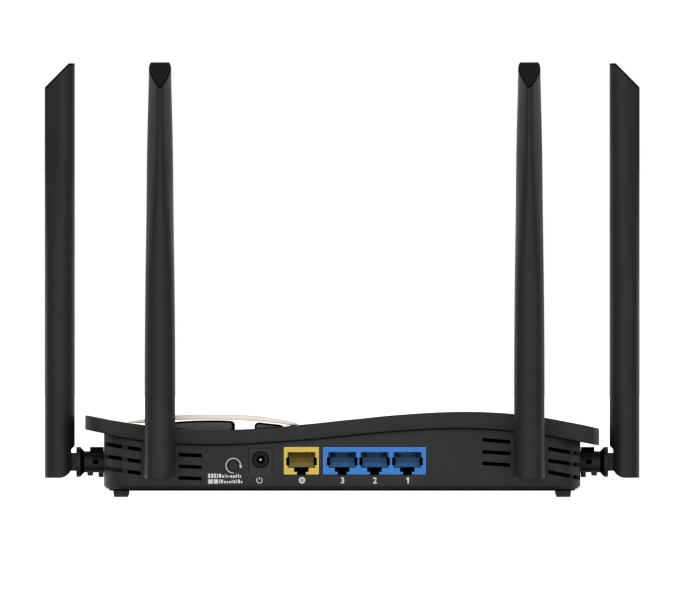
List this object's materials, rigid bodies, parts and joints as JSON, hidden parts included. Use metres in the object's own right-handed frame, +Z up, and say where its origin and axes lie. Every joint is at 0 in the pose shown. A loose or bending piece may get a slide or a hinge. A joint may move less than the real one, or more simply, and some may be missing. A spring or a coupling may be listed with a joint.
{
  "type": "wireless router",
  "caption": "Low desktop wireless router case with a wave-shaped cover, a raised champagne bridge plate, rear network sockets and folding blade antennas.",
  "frame": {"origin": "on the resting plane under the feet, below the centre of the overall box, antennas upright", "axes": "+Z up, -Y is the side with the sockets, +X to the right when facing the sockets"},
  "size_m": [0.2558, 0.174, 0.1864],
  "materials": {
    "case_plastic": "fine matte texture",
    "cover_plastic": "satin",
    "champagne_plate": "pearl champagne lacquer",
    "panel_plastic": "smoked gloss",
    "foot_rubber": "matte",
    "steel": "plated",
    "label_paper": "matte",
    "board_green": "solder mask",
    "heatsink_metal": "extruded",
    "chip_black": "moulded",
    "tinned_steel": "tinned",
    "light_clear": "frosted clear",
    "socket_yellow": "satin yellow",
    "socket_blue": "satin blue",
    "contact_gold": "gold plated",
    "inlet_black": "moulded",
    "button_plastic": "satin",
    "antenna_plastic": "satin",
    "copper": "bare copper on laminate",
    "knuckle_plastic": "satin",
    "lead_grey": "smooth jacket"
  },
  "bodies": {
    "case": {"lower_case": "case_plastic", "top_cover": "cover_plastic", "bridge_plate": "champagne_plate", "vent_panel_left": "panel_plastic", "vent_panel_right": "panel_plastic", "foot_front_left": "foot_rubber", "foot_front_right": "foot_rubber", "foot_rear_left": "foot_rubber", "foot_rear_right": "foot_rubber", "case_screw_1": "steel", "case_screw_2": "steel", "case_screw_3": "steel", "case_screw_4": "steel", "blank_label": "label_paper", "main_board": "board_green", "heatsink": "heatsink_metal", "processor": "chip_black", "shield_can_left": "tinned_steel", "shield_can_right": "tinned_steel", "wan_transformer": "chip_black", "lan_transformer": "chip_black", "status_led": "light_clear", "light_pipe": "light_clear", "wan_socket": "socket_yellow", "lan_socket_block": "socket_blue", "wan_contacts": "contact_gold", "lan_1_contacts": "contact_gold", "lan_2_contacts": "contact_gold", "lan_3_contacts": "contact_gold", "power_inlet": "inlet_black", "power_inlet_pin": "steel", "reset_switch": "chip_black", "coax_side_left": "lead_grey", "coax_side_right": "lead_grey", "coax_rear_left": "lead_grey", "coax_rear_right": "lead_grey"},
    "swivel_side_left": {"knuckle_side_left": "knuckle_plastic", "retaining_clip_side_left": "steel"},
    "antenna_side_left": {"antenna_side_left": "antenna_plastic", "radiator_side_left": "copper", "fold_pin_side_left": "steel"},
    "swivel_side_right": {"knuckle_side_right": "knuckle_plastic", "retaining_clip_side_right": "steel"},
    "antenna_side_right": {"antenna_side_right": "antenna_plastic", "radiator_side_right": "copper", "fold_pin_side_right": "steel"},
    "swivel_rear_left": {"knuckle_rear_left": "knuckle_plastic", "retaining_clip_rear_left": "steel"},
    "antenna_rear_left": {"antenna_rear_left": "antenna_plastic", "radiator_rear_left": "copper", "fold_pin_rear_left": "steel"},
    "swivel_rear_right": {"knuckle_rear_right": "knuckle_plastic", "retaining_clip_rear_right": "steel"},
    "antenna_rear_right": {"antenna_rear_right": "antenna_plastic", "radiator_rear_right": "copper", "fold_pin_rear_right": "steel"},
    "reset_button": {"reset_button": "button_plastic"}
  },
  "joints": [
    {"name": "side_left_swivel", "type": "hinge", "parent": "case", "child": "swivel_side_left", "pos_m": [-0.102, -0.028, 0.015], "axis": [1, 0, 0], "range_deg": [-90, 90]},
    {"name": "side_right_swivel", "type": "hinge", "parent": "case", "child": "swivel_side_right", "pos_m": [0.102, -0.028, 0.015], "axis": [-1, 0, 0], "range_deg": [-90, 90]},
    {"name": "rear_left_swivel", "type": "hinge", "parent": "case", "child": "swivel_rear_left", "pos_m": [-0.0781, -0.06125, 0.015], "axis": [0, 1, 0], "range_deg": [-90, 55]},
    {"name": "rear_right_swivel", "type": "hinge", "parent": "case", "child": "swivel_rear_right", "pos_m": [0.0802, -0.06125, 0.015], "axis": [0, 1, 0], "range_deg": [-55, 90]},
    {"name": "side_left_fold", "type": "hinge", "parent": "swivel_side_left", "child": "antenna_side_left", "pos_m": [-0.1213, -0.028, 0.015], "axis": [0, -1, 0], "range_deg": [0, 90]},
    {"name": "side_right_fold", "type": "hinge", "parent": "swivel_side_right", "child": "antenna_side_right", "pos_m": [0.1213, -0.028, 0.015], "axis": [0, 1, 0], "range_deg": [0, 90]},
    {"name": "rear_left_fold", "type": "hinge", "parent": "swivel_rear_left", "child": "antenna_rear_left", "pos_m": [-0.0781, -0.08055, 0.015], "axis": [1, 0, 0], "range_deg": [0, 90]},
    {"name": "rear_right_fold", "type": "hinge", "parent": "swivel_rear_right", "child": "antenna_rear_right", "pos_m": [0.0802, -0.08055, 0.015], "axis": [1, 0, 0], "range_deg": [0, 90]},
    {"name": "reset_press", "type": "slide", "parent": "case", "child": "reset_button", "axis": [0, 1, 0], "range_m": [0, 0.0006], "stiffness_N_per_m": 600, "springref_m": -0.0004}
  ]
}
